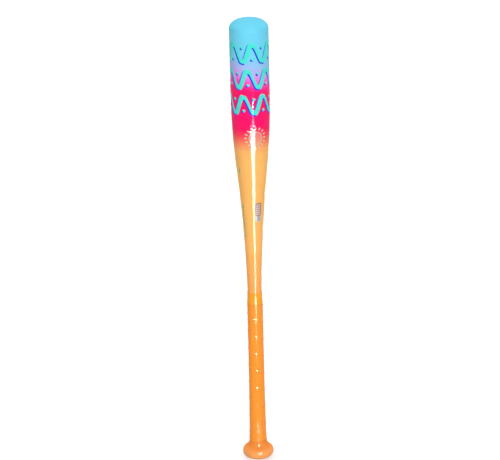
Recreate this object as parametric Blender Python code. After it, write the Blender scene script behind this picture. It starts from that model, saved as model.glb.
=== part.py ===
"""A youth bat for tee ball, standing upright on its knob.

A swaged aluminium tube runs from a welded knob to a moulded cap. A ribbon of soft tape is wound round the
handle and a rubber collar finishes its top end. The origin is the centre of the knob's flat foot, +Z runs
along the bat to the barrel end, and -Y is the front, the side that carries the small foil label.
"""

import math

import bmesh
import bpy
import numpy as np

# All sizes are in metres.
FIT_GAP = 0.0003  # room left between two pieces that touch

# Tube
BAT_LENGTH = 0.6858
BARREL_DIAMETER = 0.05715
HANDLE_DIAMETER = 0.02036
BARREL_WALL = 0.0016
HANDLE_WALL = 0.0022
BARREL_LENGTH = 0.1128  # the straight barrel, with its cap
TAPER_LENGTH = 0.341
SHOULDER_EASE = 0.100  # the rounded stretch where the barrel turns into the cone
FOOT_EASE = 0.208  # the hollow stretch where the cone turns into the handle
FLARE_LENGTH = 0.124  # the handle widens again over this length above the weld
FLARE_SWELL = 0.0009

# End cap
CAP_ROUND_WIDTH = 0.0225
CAP_ROUND_HEIGHT = 0.0146
CAP_CROWN_RISE = 0.0003  # the middle of the crown stands above the edge of the rounding
CAP_BAND = 0.0030  # the straight band between the rounding and the tube's mouth
CAP_WALL = 0.0028
CAP_SKIRT = 0.0170
CAP_SKIRT_CHAMFER = 0.0010
GROOVE_DROP = 0.0060
GROOVE_WIDTH = 0.0042
GROOVE_DEPTH = 0.0014

# Knob
KNOB_DIAMETER = 0.0470
KNOB_FOOT_ROUND = 0.0110
KNOB_FOOT_HEIGHT = 0.0088
KNOB_TOP_ROUND = 0.0097
KNOB_TOP_HEIGHT = 0.0099
KNOB_TOP_TURN = math.radians(64)  # the belly leaves its upper ellipse here and runs into the hollow
KNOB_EASE_HEIGHT = 0.0090  # from the top of that ellipse to the shoulder, where the tape begins
NECK_LENGTH = 0.0183
NECK_SWELL = 0.0007
SPIGOT_LENGTH = 0.0140
SPIGOT_CHAMFER = 0.0008
KNOB_BORE_DIAMETER = 0.0120
WELD_LEG = 0.0013

# Rubber stopper and the plain disc that covers it
BUNG_LENGTH = 0.0180
BUNG_DRAFT = 0.0006
BUNG_FLANGE_DIAMETER = 0.0160
BUNG_FLANGE_THICKNESS = 0.0020
DISC_DIAMETER = 0.0200
DISC_THICKNESS = 0.0012
DISC_BEVEL = 0.0003
DISC_SET_BACK = 0.0003  # the disc lies this far inside the foot, so the bat stands on the knob

# Grip tape and its collar
GRIP_LENGTH = 0.2223
GRIP_PITCH = 0.02756
GRIP_SEAM = 0.0006
GRIP_THICKNESS = 0.00115
RIDGE_HEIGHT = 0.00035  # the lower edge of each turn stands proud by this much
RIDGE_CREST = 0.0009
RIDGE_WIDTH = 0.0045
EDGE_ROUND = 0.0006
FIRST_EDGE_RISE = 0.0329  # from the grip's foot to where the lower edge crosses the front
GRIP_TIP_WIDTH = 0.0015  # the ribbon's ends are cut square where this much of it shows
COLLAR_LENGTH = 0.0185
COLLAR_BAND = 0.0016
COLLAR_TAIL = 0.0085  # the length of its thin upper end
COLLAR_LIP = 0.00035

# Foil label on the taper
LABEL_WIDTH = 0.0090
LABEL_HEIGHT = 0.0290
LABEL_THICKNESS = 0.0004
LABEL_CORNER = 0.0010
LABEL_DROP = 0.1752  # from the top of the taper down to the label's middle
LABEL_TURN = math.radians(28)  # to the right of the front

# Facets
ROUND_STEPS = 40
SMALL_ROUND_STEPS = 24
WINDING_STEPS = 24
INNER_STEPS = 4
LABEL_COLUMNS = 4
LABEL_ROWS = 5

# Radii and heights that several pieces share
BARREL_RADIUS = BARREL_DIAMETER / 2
HANDLE_RADIUS = HANDLE_DIAMETER / 2
KNOB_RADIUS = KNOB_DIAMETER / 2
KNOB_BORE = KNOB_BORE_DIAMETER / 2
TAPER_TOP = BAT_LENGTH - BARREL_LENGTH
TAPER_FOOT = TAPER_TOP - TAPER_LENGTH
TAPER_SLOPE = (BARREL_RADIUS - HANDLE_RADIUS) / (TAPER_LENGTH - (SHOULDER_EASE + FOOT_EASE) / 2)
CAP_ROUND_TOP = BAT_LENGTH - CAP_CROWN_RISE
CAP_SEAM = CAP_ROUND_TOP - CAP_ROUND_HEIGHT - CAP_BAND
KNOB_SHOULDER = KNOB_FOOT_HEIGHT + KNOB_TOP_HEIGHT + KNOB_EASE_HEIGHT
WELD_HEIGHT = KNOB_SHOULDER + NECK_LENGTH
FLARE_TOP = WELD_HEIGHT + FLARE_LENGTH
GRIP_FOOT = KNOB_SHOULDER + FIT_GAP
GRIP_TOP = KNOB_SHOULDER + GRIP_LENGTH
COLLAR_TOP = GRIP_TOP + FIT_GAP + COLLAR_LENGTH


def taper_radius(z):
    """Outer radius of the tube without its flare: barrel, rounded shoulder, cone, hollow foot and handle."""
    below_top = TAPER_TOP - z
    above_foot = z - TAPER_FOOT
    if below_top <= 0:
        return BARREL_RADIUS
    if above_foot <= 0:
        return HANDLE_RADIUS
    if below_top < SHOULDER_EASE:
        return BARREL_RADIUS - TAPER_SLOPE * below_top**2 / (2 * SHOULDER_EASE)
    if above_foot < FOOT_EASE:
        return HANDLE_RADIUS + TAPER_SLOPE * above_foot**2 / (2 * FOOT_EASE)
    return BARREL_RADIUS - TAPER_SLOPE * (below_top - SHOULDER_EASE / 2)


def tube_radius(z):
    """Outer radius of the tube at height z, with the flare above the weld."""
    flare = max(0.0, FLARE_TOP - z) / FLARE_LENGTH
    return taper_radius(z) + FLARE_SWELL * flare**2


def tube_bore(z):
    """Inner radius of the tube at height z: the wall thins from the handle to the barrel."""
    share = (taper_radius(z) - HANDLE_RADIUS) / (BARREL_RADIUS - HANDLE_RADIUS)
    return tube_radius(z) - HANDLE_WALL - share * (BARREL_WALL - HANDLE_WALL)


def neck_radius(z):
    """Outer radius of the knob's neck, which meets the tube at the weld and swells smoothly towards the knob."""
    down = min(1.0, max(0.0, (WELD_HEIGHT - z) / NECK_LENGTH))
    return tube_radius(WELD_HEIGHT) + NECK_SWELL * down * down * (3 - 2 * down)


def held_radius(z):
    """Outer radius of what the grip tape lies on: the tube above the weld and the knob's neck below it."""
    return tube_radius(z) if z >= WELD_HEIGHT else neck_radius(z)


def grip_radius(z):
    """Outer radius of the grip tape between two ridges."""
    return held_radius(z) + FIT_GAP + GRIP_THICKNESS


def arc(centre, radii, start, end, steps):
    """Points (r, z) of an elliptic arc, with angles in degrees counted from +r towards +z."""
    turns = [math.radians(start + (end - start) * i / steps) for i in range(steps + 1)]
    return [(centre[0] + radii[0] * math.cos(a), centre[1] + radii[1] * math.sin(a)) for a in turns]


def hollow_curve(start, corner, end, steps):
    """Points of a smooth curve that leaves start towards the corner and reaches end from the corner."""
    points = []
    for i in range(steps + 1):
        turn = math.pi / 2 * i / steps
        near, far = 1 - math.sin(turn), 1 - math.cos(turn)
        points.append(tuple(c + (s - c) * near + (e - c) * far for s, c, e in zip(start, corner, end)))
    return points


def heights(low, high, steps):
    """Evenly spaced heights from low to high, both included."""
    return [low + (high - low) * i / steps for i in range(steps + 1)]


def material(name, colour, roughness, metallic=0.0):
    """A Principled material of one colour."""
    made = bpy.data.materials.new(name)
    made.use_nodes = True
    shader = made.node_tree.nodes["Principled BSDF"]
    shader.inputs["Base Color"].default_value = (*colour, 1.0)
    shader.inputs["Roughness"].default_value = roughness
    shader.inputs["Metallic"].default_value = metallic
    made.diffuse_color = (*colour, 1.0)
    return made


def add_object(name, mesh_builder, seat, look, sharp_angle=math.radians(35)):
    """Turns a bmesh in bat coordinates into an object whose origin lies on the axis at height seat."""
    bmesh.ops.translate(mesh_builder, verts=mesh_builder.verts, vec=(0, 0, -seat))
    bmesh.ops.recalc_face_normals(mesh_builder, faces=mesh_builder.faces)
    mesh = bpy.data.meshes.new(name)
    mesh_builder.to_mesh(mesh)
    mesh_builder.free()
    mesh.materials.append(look)
    mesh.shade_smooth()
    mesh.set_sharp_from_angle(angle=sharp_angle)
    piece = bpy.data.objects.new(name, mesh)
    bpy.context.scene.collection.objects.link(piece)
    piece.location = (0, 0, seat)
    piece.parent = bpy.data.objects["bat"]
    return piece


def turned(name, outline, seat, look, steps=ROUND_STEPS):
    """A piece turned on the bat's axis from a closed outline of (r, z) points."""
    builder = bmesh.new()
    corners = [builder.verts.new((r, 0, z)) for r, z in outline]
    for first, second in zip(corners, corners[1:] + corners[:1]):
        if first.co.x > 0 or second.co.x > 0:
            builder.edges.new((first, second))
    bmesh.ops.spin(
        builder, geom=builder.verts[:] + builder.edges[:], cent=(0, 0, 0), axis=(0, 0, 1),
        angle=math.tau, steps=steps, use_merge=True,
    )
    bmesh.ops.remove_doubles(builder, verts=builder.verts, dist=1e-7)
    return add_object(name, builder, seat, look)


def bat_tube(look):
    """The swaged tube: one piece from the cap's seam down to a chamfered end at the weld."""
    mouth = CAP_SEAM - FIT_GAP
    foot = WELD_HEIGHT + FIT_GAP / 2
    chamfer = foot + WELD_LEG
    rings = heights(TAPER_TOP, TAPER_TOP - SHOULDER_EASE, 5)
    rings += heights(TAPER_FOOT + FOOT_EASE, TAPER_FOOT, 9)
    rings += heights(FLARE_TOP, chamfer, 4)[:-1]
    rings = sorted((z for z in rings if chamfer < z < mouth), reverse=True)
    outside = [(tube_radius(z), z) for z in (mouth, *rings, chamfer)]
    end = [(tube_radius(foot) - WELD_LEG, foot)]
    inside = [(tube_bore(z), z) for z in (mouth, *rings[::2], foot)]
    return turned("bat_tube", outside + end + inside[::-1], WELD_HEIGHT, look)


def end_cap(look):
    """The moulded cap: a wide rounding up to a nearly flat crown, and a skirt that plugs into the barrel."""
    crown = BARREL_RADIUS - CAP_ROUND_WIDTH
    skirt = tube_bore(CAP_SEAM) - FIT_GAP
    skirt_end = CAP_SEAM - CAP_SKIRT
    groove_top = CAP_SEAM - GROOVE_DROP
    groove_end = groove_top - GROOVE_WIDTH
    bore = skirt - GROOVE_DEPTH - CAP_WALL / 2
    outline = [(0, BAT_LENGTH)]
    outline += arc((crown, CAP_SEAM + CAP_BAND), (CAP_ROUND_WIDTH, CAP_ROUND_HEIGHT), 90, 0, 12)
    outline += [(BARREL_RADIUS, CAP_SEAM), (skirt, CAP_SEAM), (skirt, groove_top)]
    outline += [(skirt - GROOVE_DEPTH, groove_top), (skirt - GROOVE_DEPTH, groove_end), (skirt, groove_end)]
    outline += [(skirt, skirt_end + CAP_SKIRT_CHAMFER), (skirt - CAP_SKIRT_CHAMFER, skirt_end)]
    outline += [(bore, skirt_end)]
    inner_height = CAP_ROUND_TOP - CAP_WALL - CAP_SEAM
    outline += arc((crown, CAP_SEAM), (bore - crown, inner_height), 0, 90, 8)
    outline += [(0, CAP_ROUND_TOP - CAP_WALL)]
    return turned("end_cap", outline, CAP_SEAM, look)


def cap_bond(look):
    """The ring of adhesive in the skirt's groove, which holds the cap in the barrel."""
    outer = tube_bore(CAP_SEAM) - FIT_GAP
    inner = outer - GROOVE_DEPTH + FIT_GAP
    top = CAP_SEAM - GROOVE_DROP - FIT_GAP
    foot = CAP_SEAM - GROOVE_DROP - GROOVE_WIDTH + FIT_GAP
    return turned("cap_bond", [(outer, top), (outer, foot), (inner, foot), (inner, top)], foot, look)


def knob(look):
    """The knob: a flat foot with a recess, a round belly, a neck for the tape and a spigot in the tube."""
    foot = KNOB_RADIUS - KNOB_FOOT_ROUND
    shoulder = KNOB_RADIUS - KNOB_TOP_ROUND
    ledge = grip_radius(KNOB_SHOULDER)
    belly = (foot, KNOB_FOOT_HEIGHT)
    top = (shoulder, KNOB_FOOT_HEIGHT)
    fall = KNOB_TOP_HEIGHT * math.cos(KNOB_TOP_TURN) / (KNOB_TOP_ROUND * math.sin(KNOB_TOP_TURN))
    neck_end = WELD_HEIGHT - FIT_GAP / 2
    spigot = tube_bore(WELD_HEIGHT + SPIGOT_LENGTH) - FIT_GAP
    spigot_end = WELD_HEIGHT + SPIGOT_LENGTH
    recess = DISC_SET_BACK + DISC_THICKNESS + FIT_GAP
    counterbore = recess + BUNG_FLANGE_THICKNESS + FIT_GAP
    outline = arc(belly, (KNOB_FOOT_ROUND, KNOB_FOOT_HEIGHT), -90, 0, 7)
    outline += arc(top, (KNOB_TOP_ROUND, KNOB_TOP_HEIGHT), 0, math.degrees(KNOB_TOP_TURN), 5)[1:]
    edge = outline[-1]
    corner = (ledge, edge[1] + (edge[0] - ledge) * fall)
    outline += hollow_curve(edge, corner, (ledge, KNOB_SHOULDER), 7)[1:]
    neck = heights(KNOB_SHOULDER, neck_end - WELD_LEG, 5)
    outline += [(neck_radius(z), z) for z in neck]
    outline += [(neck_radius(neck_end) - WELD_LEG, neck_end), (spigot, neck_end)]
    outline += [(spigot, spigot_end - SPIGOT_CHAMFER), (spigot - SPIGOT_CHAMFER, spigot_end)]
    outline += [(KNOB_BORE, spigot_end), (KNOB_BORE, counterbore)]
    flange = BUNG_FLANGE_DIAMETER / 2 + FIT_GAP
    disc = DISC_DIAMETER / 2 + FIT_GAP
    outline += [(flange, counterbore), (flange, recess), (disc, recess), (disc, 0)]
    return turned("knob", outline, 0, look)


def knob_weld(look):
    """The weld bead in the vee between the knob's neck and the tube, ground flush under the tape."""
    surface = tube_radius(WELD_HEIGHT)
    half = WELD_LEG + FIT_GAP / 2 - FIT_GAP * math.sqrt(2)
    outline = [(surface, WELD_HEIGHT - half), (surface, WELD_HEIGHT + half), (surface - half, WELD_HEIGHT)]
    return turned("knob_weld", outline, WELD_HEIGHT, look)


def knob_bung(look):
    """The rubber stopper that closes the knob's bore."""
    flange_foot = DISC_SET_BACK + DISC_THICKNESS + FIT_GAP
    flange_top = flange_foot + BUNG_FLANGE_THICKNESS
    top = flange_top + BUNG_LENGTH
    stem = KNOB_BORE - FIT_GAP
    flange = BUNG_FLANGE_DIAMETER / 2
    outline = [(0, flange_foot), (flange, flange_foot), (flange, flange_top), (stem, flange_top)]
    outline += [(stem - BUNG_DRAFT, top - BUNG_DRAFT), (stem - 2 * BUNG_DRAFT, top), (0, top)]
    return turned("knob_bung", outline, flange_foot, look, SMALL_ROUND_STEPS)


def knob_disc(look):
    """The plain disc glued into the recess of the knob's foot."""
    foot = DISC_SET_BACK
    top = DISC_SET_BACK + DISC_THICKNESS
    radius = DISC_DIAMETER / 2
    outline = [(0, foot), (radius - DISC_BEVEL, foot), (radius, foot + DISC_BEVEL), (radius, top), (0, top)]
    return turned("knob_disc", outline, foot, look)


def ribbon_section(edge):
    """One cross-section of the grip ribbon, as (r, z) points, where its lower edge is at height edge."""
    width = GRIP_PITCH - GRIP_SEAM
    crest = GRIP_THICKNESS + RIDGE_HEIGHT
    outer = [
        (0.0, GRIP_THICKNESS - EDGE_ROUND / 2),
        (RIDGE_CREST / 3, crest - EDGE_ROUND / 4),
        (RIDGE_CREST, crest),
        (RIDGE_WIDTH * 0.55, GRIP_THICKNESS + RIDGE_HEIGHT * 0.4),
        (RIDGE_WIDTH, GRIP_THICKNESS),
        (width / 2, GRIP_THICKNESS),
        (width - EDGE_ROUND, GRIP_THICKNESS),
        (width, GRIP_THICKNESS - EDGE_ROUND),
    ]
    inner = [(width * (INNER_STEPS - i) / INNER_STEPS, 0.0) for i in range(INNER_STEPS + 1)]
    return [(held_radius(edge + up) + FIT_GAP + thick, edge + up) for up, thick in outer + inner]


def grip_turns():
    """Each step of the winding as (angle round the axis, section): it climbs clockwise as seen from the cap."""
    width = GRIP_PITCH - GRIP_SEAM
    start = GRIP_FOOT + GRIP_TIP_WIDTH - width
    end = GRIP_TOP - GRIP_TIP_WIDTH
    at_front = KNOB_SHOULDER + FIRST_EDGE_RISE
    first = math.ceil((start - at_front) / GRIP_PITCH * WINDING_STEPS)
    last = math.floor((end - at_front) / GRIP_PITCH * WINDING_STEPS)
    for step in range(first, last + 1):
        turns = step / WINDING_STEPS
        yield -math.pi / 2 - math.tau * turns, ribbon_section(at_front + GRIP_PITCH * turns)


def least_gap_to_itself(rings):
    """The smallest distance between points of one turn and points of the next, in metres."""
    points = np.array(rings)
    gaps = []
    for i in range(len(points) - WINDING_STEPS):
        below = points[i][:, None, :]
        above = points[i + WINDING_STEPS][None, :, :]
        gaps.append(np.linalg.norm(below - above, axis=2).min())
    return min(gaps)


def cut_flat(builder, height, keep_above):
    """Cuts a closed mesh at a height, keeps one side and closes the cut."""
    cut = bmesh.ops.bisect_plane(
        builder, geom=builder.verts[:] + builder.edges[:] + builder.faces[:], dist=1e-7,
        plane_co=(0, 0, height), plane_no=(0, 0, 1), clear_inner=keep_above, clear_outer=not keep_above,
    )
    edges = [e for e in cut["geom_cut"] if isinstance(e, bmesh.types.BMEdge)]
    bmesh.ops.holes_fill(builder, edges=edges, sides=0)


def grip_tape(look):
    """The grip: one ribbon wound up the handle, with its lower edge raised, cut level at both ends."""
    builder = bmesh.new()
    rings = []
    for angle, section in grip_turns():
        across, along = math.cos(angle), math.sin(angle)
        rings.append([(r * across, r * along, z) for r, z in section])
    loops = [[builder.verts.new(point) for point in ring] for ring in rings]
    for low, high in zip(loops, loops[1:]):
        for i, corner in enumerate(low):
            j = (i + 1) % len(low)
            builder.faces.new((corner, low[j], high[j], high[i]))
    builder.faces.new(loops[0])
    builder.faces.new(loops[-1])
    bmesh.ops.recalc_face_normals(builder, faces=builder.faces)
    cut_flat(builder, GRIP_FOOT, keep_above=True)
    cut_flat(builder, GRIP_TOP, keep_above=False)
    print(f"grip winding: {(len(rings) - 1) / WINDING_STEPS:.1f} turns, "
          f"least gap to itself {least_gap_to_itself(rings) * 1000:.2f} mm")
    return add_object("grip_tape", builder, GRIP_FOOT, look)


def grip_collar(look):
    """The rubber collar that finishes the tape's top end and slopes down to a thin tail on the bare tube."""
    foot = GRIP_TOP + FIT_GAP
    band_top = foot + COLLAR_BAND
    tail_foot = COLLAR_TOP - COLLAR_TAIL
    inside = [(held_radius(z) + FIT_GAP, z) for z in (COLLAR_TOP, tail_foot, band_top, foot)]
    outline = [(grip_radius(foot), foot), (grip_radius(foot), band_top)]
    outline += [(held_radius(z) + FIT_GAP + COLLAR_LIP, z) for z in (tail_foot, COLLAR_TOP)]
    return turned("grip_collar", outline + inside, foot, look)


def foil_label(look):
    """The small foil label, bent round the taper to the right of the front."""
    middle = TAPER_TOP - LABEL_DROP
    builder = bmesh.new()
    bmesh.ops.create_grid(builder, x_segments=LABEL_COLUMNS, y_segments=LABEL_ROWS, size=0.5)
    bmesh.ops.scale(builder, vec=(LABEL_WIDTH, LABEL_HEIGHT, 1), verts=builder.verts)
    corners = [v for v in builder.verts if len(v.link_edges) == 2]
    bmesh.ops.bevel(builder, geom=corners, offset=LABEL_CORNER, segments=2, affect="VERTICES", profile=0.5)
    top = bmesh.ops.extrude_face_region(builder, geom=builder.faces[:])["geom"]
    raised = [v for v in top if isinstance(v, bmesh.types.BMVert)]
    bmesh.ops.translate(builder, verts=raised, vec=(0, 0, LABEL_THICKNESS))
    around = tube_radius(middle)
    for v in builder.verts:
        z = middle + v.co.y
        radius = tube_radius(z) + FIT_GAP + v.co.z
        angle = -math.pi / 2 + LABEL_TURN + v.co.x / around
        v.co = (radius * math.cos(angle), radius * math.sin(angle), z)
    return add_object("foil_label", builder, middle, look)


def build():
    """Clears the scene and makes every piece of the bat."""
    for old in list(bpy.data.objects):
        bpy.data.objects.remove(old, do_unlink=True)
    carrier = bpy.data.objects.new("bat", None)
    bpy.context.scene.collection.objects.link(carrier)
    paint = material("orange_enamel", (0.95, 0.42, 0.13), 0.15, 0.2)
    blue_plastic = material("light_blue_plastic", (0.17, 0.72, 0.90), 0.25)
    bat_tube(paint)
    end_cap(blue_plastic)
    cap_bond(material("clear_adhesive", (0.75, 0.72, 0.62), 0.5))
    knob(material("knob_enamel", (0.90, 0.32, 0.08), 0.18, 0.2))
    knob_weld(material("weld_metal", (0.60, 0.61, 0.62), 0.4, 1.0))
    knob_bung(material("black_rubber", (0.03, 0.03, 0.03), 0.8))
    knob_disc(material("disc_plastic", (0.93, 0.36, 0.10), 0.3))
    grip_tape(material("grip_polymer", (0.95, 0.30, 0.04), 0.45))
    grip_collar(material("collar_rubber", (0.93, 0.31, 0.05), 0.4))
    foil_label(material("silver_foil", (0.60, 0.55, 0.56), 0.3, 0.8))


build()
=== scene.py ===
# %% [markdown]
# # Dressing a tee ball bat
#
# The engineering model of this bat is already built: a tube, a cap, a knob, a wound grip and a few
# hidden pieces, all at their real size. This notebook gives them their looks. The visible pieces are
# modelled again with many more facets, in exactly the same place, and every surface gets a material
# made of nodes. The camera is set up first, and the last cells add the rest of the studio: a pale
# floor, white surroundings and lamps.

# %% Load the frame
import math

import bpy
from mathutils import Matrix, Vector


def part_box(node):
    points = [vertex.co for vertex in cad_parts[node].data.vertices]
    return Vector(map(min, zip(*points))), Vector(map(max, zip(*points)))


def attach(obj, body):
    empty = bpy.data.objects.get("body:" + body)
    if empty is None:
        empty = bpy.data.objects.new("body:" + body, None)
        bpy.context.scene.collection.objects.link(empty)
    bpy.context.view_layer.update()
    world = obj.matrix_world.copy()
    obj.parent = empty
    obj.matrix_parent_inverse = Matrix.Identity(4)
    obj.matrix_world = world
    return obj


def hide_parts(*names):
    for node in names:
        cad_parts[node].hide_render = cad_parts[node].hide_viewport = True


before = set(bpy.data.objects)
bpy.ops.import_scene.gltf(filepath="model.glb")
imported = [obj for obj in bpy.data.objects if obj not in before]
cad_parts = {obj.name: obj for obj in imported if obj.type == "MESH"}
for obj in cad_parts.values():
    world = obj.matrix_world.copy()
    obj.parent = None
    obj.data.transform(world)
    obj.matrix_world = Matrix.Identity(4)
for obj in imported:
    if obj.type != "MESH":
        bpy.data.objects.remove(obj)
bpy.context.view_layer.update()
bpy.ops.object.select_all(action="DESELECT")
print("pieces of the frame:", ", ".join(sorted(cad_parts)))

# %% [markdown]
# ## The camera
#
# The picture was taken from the front, a little above the bat, with a long lens. A long lens flattens
# the perspective, so knob and barrel are drawn at nearly the same scale. The camera is rolled by little
# more than a degree, and its shift moves the picture without turning the view, as a view camera does.

# %% Place the camera
IMAGE_WIDTH = 500
FOCAL_LENGTH_PIXELS = 2020.5
SENSOR_WIDTH = 36.0
VIEW_DISTANCE = 3.0
VIEW_RISE = math.radians(19)
VIEW_ROLL = math.radians(1.33)
SHIFT_PIXELS = (-3.62, 14.56)


def add_camera(target):
    """A camera in front of the bat and above it, aimed at the target and rolled by VIEW_ROLL."""
    right = Vector((1, 0, 0))
    up = Vector((0, math.sin(VIEW_RISE), math.cos(VIEW_RISE)))
    back = right.cross(up)
    rolled_right = right * math.cos(VIEW_ROLL) - up * math.sin(VIEW_ROLL)
    rolled_up = right * math.sin(VIEW_ROLL) + up * math.cos(VIEW_ROLL)
    bpy.ops.object.camera_add(location=target + back * VIEW_DISTANCE)
    camera = bpy.context.object
    camera.name = "photo_camera"
    camera.rotation_euler = Matrix((rolled_right, rolled_up, back)).transposed().to_euler()
    camera.data.sensor_fit = "HORIZONTAL"
    camera.data.sensor_width = SENSOR_WIDTH
    camera.data.lens = FOCAL_LENGTH_PIXELS / IMAGE_WIDTH * SENSOR_WIDTH
    camera.data.shift_x = SHIFT_PIXELS[0] / IMAGE_WIDTH
    camera.data.shift_y = SHIFT_PIXELS[1] / IMAGE_WIDTH
    return camera


bat_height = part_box("end_cap")[1].z
camera = add_camera(Vector((0, 0, bat_height / 2)))
bpy.context.scene.camera = camera
print(f"camera at {tuple(round(v, 3) for v in camera.location)}, lens {camera.data.lens:.1f} mm")

# %% [markdown]
# ## The outline of the bat
#
# A real bat of this kind starts as a straight aluminium tube. A swaging machine hammers it down to a
# thin handle, which leaves one smooth outline: a straight barrel, a rounded shoulder, a cone, a long
# hollow sweep and the handle. The same few sizes as in the engineering model describe it here, and a
# function gives the radius at any height, so every piece that lies on the tube can ask for it.

# %% Sizes of the tube
FIT_GAP = 0.0003
BARREL_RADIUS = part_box("bat_tube")[1].x
HANDLE_RADIUS = 0.01018
BARREL_WALL = 0.0016
HANDLE_WALL = 0.0022
TAPER_TOP = bat_height - 0.1128
TAPER_LENGTH = 0.341
TAPER_FOOT = TAPER_TOP - TAPER_LENGTH
SHOULDER_EASE = 0.100
FOOT_EASE = 0.208
TAPER_SLOPE = (BARREL_RADIUS - HANDLE_RADIUS) / (TAPER_LENGTH - (SHOULDER_EASE + FOOT_EASE) / 2)
WELD_HEIGHT = 0.046
NECK_LENGTH = 0.0183
NECK_SWELL = 0.0007
FLARE_LENGTH = 0.124
FLARE_TOP = WELD_HEIGHT + FLARE_LENGTH
FLARE_SWELL = 0.0009


# %% Radius at any height
def taper_radius(z):
    """Outer radius of the swaged tube: barrel, rounded shoulder, cone, hollow foot and handle."""
    below_top = TAPER_TOP - z
    above_foot = z - TAPER_FOOT
    if below_top <= 0:
        return BARREL_RADIUS
    if above_foot <= 0:
        return HANDLE_RADIUS
    if below_top < SHOULDER_EASE:
        return BARREL_RADIUS - TAPER_SLOPE * below_top**2 / (2 * SHOULDER_EASE)
    if above_foot < FOOT_EASE:
        return HANDLE_RADIUS + TAPER_SLOPE * above_foot**2 / (2 * FOOT_EASE)
    return BARREL_RADIUS - TAPER_SLOPE * (below_top - SHOULDER_EASE / 2)


def tube_radius(z):
    """Outer radius of the tube, with the slight flare above the weld."""
    return taper_radius(z) + FLARE_SWELL * (max(0.0, FLARE_TOP - z) / FLARE_LENGTH) ** 2


def tube_bore(z):
    """Inner radius of the tube: the wall thins from the handle to the barrel."""
    share = (taper_radius(z) - HANDLE_RADIUS) / (BARREL_RADIUS - HANDLE_RADIUS)
    return tube_radius(z) - HANDLE_WALL - share * (BARREL_WALL - HANDLE_WALL)


def held_radius(z):
    """Outer radius of what the grip lies on: the tube, and below the weld the neck of the knob."""
    if z >= WELD_HEIGHT:
        return tube_radius(z)
    down = min(1.0, (WELD_HEIGHT - z) / NECK_LENGTH)
    return tube_radius(WELD_HEIGHT) + NECK_SWELL * down * down * (3 - 2 * down)


for z in (0.65, 0.5, 0.4, 0.3, 0.1):
    print(f"radius at {z * 1000:.0f} mm: {tube_radius(z) * 1000:.2f} mm")

# %% [markdown]
# ## A lathe for Blender
#
# Almost every piece of a bat is turned. Blender's lathe is the Spin operator: half an outline is drawn
# to one side of the axis and swept all the way round. The outline is drawn as by hand, from one vertex
# that is extruded from point to point. After the spin the first and last copy are merged and the
# normals are turned outwards, because a spin can leave a shape inside out.

# %% Draw an outline and spin it
ROUND_STEPS = 128


def arc(centre, radii, start, end, steps):
    """Points (r, z) of an elliptic arc, with angles in degrees counted from +r towards +z."""
    turns = [math.radians(start + (end - start) * i / steps) for i in range(steps + 1)]
    return [(centre[0] + radii[0] * math.cos(a), centre[1] + radii[1] * math.sin(a)) for a in turns]


def heights(low, high, steps):
    """Evenly spaced heights from low to high, both included."""
    return [low + (high - low) * i / steps for i in range(steps + 1)]


def draw_outline(name, outline):
    """A new object whose mesh is a line through the outline's (r, z) points, left in edit mode."""
    bpy.ops.mesh.primitive_plane_add(size=0.001, location=(0, 0, 0))
    piece = bpy.context.object
    piece.name = name
    piece.data.name = name
    bpy.ops.object.mode_set(mode="EDIT")
    bpy.ops.mesh.select_all(action="SELECT")
    bpy.ops.mesh.merge(type="CENTER")
    bpy.ops.transform.translate(value=(outline[0][0], 0, outline[0][1]))
    for here, there in zip(outline, outline[1:]):
        step = (there[0] - here[0], 0, there[1] - here[1])
        bpy.ops.mesh.extrude_region_move(TRANSFORM_OT_translate={"value": step})
    bpy.ops.mesh.select_all(action="SELECT")
    bpy.ops.mesh.remove_doubles(threshold=1e-6)
    return piece


def cut(place, direction, **options):
    """Cuts the whole mesh with a plane through a place, square to a direction."""
    bpy.ops.mesh.select_all(action="SELECT")
    bpy.ops.mesh.bisect(plane_co=place, plane_no=direction, **options)


def close_mesh(piece, sharp_degrees=38):
    """Merges doubles, turns the faces outwards and shades the piece smooth except at its sharp edges."""
    bpy.ops.mesh.select_all(action="SELECT")
    bpy.ops.mesh.remove_doubles(threshold=1e-6)
    bpy.ops.mesh.normals_make_consistent(inside=False)
    bpy.ops.object.mode_set(mode="OBJECT")
    bpy.ops.object.shade_smooth_by_angle(angle=math.radians(sharp_degrees))
    print(f"{piece.name}: {len(piece.data.polygons)} faces, "
          f"{max(v.co.z for v in piece.data.vertices) * 1000:.1f} mm at the top")


def turned(name, outline, steps=ROUND_STEPS):
    """A piece turned on the bat's axis from a closed outline."""
    piece = draw_outline(name, [*outline, outline[0]])
    bpy.ops.mesh.select_all(action="SELECT")
    bpy.ops.mesh.spin(steps=steps, angle=math.tau, center=(0, 0, 0), axis=(0, 0, 1))
    close_mesh(piece)
    return piece


# %% [markdown]
# ## Fit a piece to the frame
#
# A new piece is hung on a moving body, and the engineering piece that it stands for is hidden. A bat has
# no joints, so everything rides on the one body, root.

# %% Put a piece in place of a CAD node
def stand_in(piece, node):
    """The piece rides on the bat's only body and hides the CAD node that it stands for."""
    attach(piece, "root")
    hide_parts(node)
    return piece


# %% [markdown]
# ## The tube
#
# The tube is one piece from the weld to the cap. Its mouth is a cut edge, broken with a file, and its
# foot is chamfered for the weld. The inside is modelled too, because the wall's thickness shows in a
# cut or exploded view. Rings lie close together where the outline bends and further apart on the
# straight parts.

# %% Turn the tube
CAP_ROUND_HEIGHT = 0.0146
CAP_CROWN_RISE = 0.0003
CAP_BAND = 0.0030
CAP_ROUND_TOP = bat_height - CAP_CROWN_RISE
CAP_SEAM = CAP_ROUND_TOP - CAP_ROUND_HEIGHT - CAP_BAND
WELD_LEG = 0.0013
HAIRLINE = 0.00008
MOUTH_ROUND = 0.00006
LIP = (MOUTH_ROUND, MOUTH_ROUND)


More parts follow.
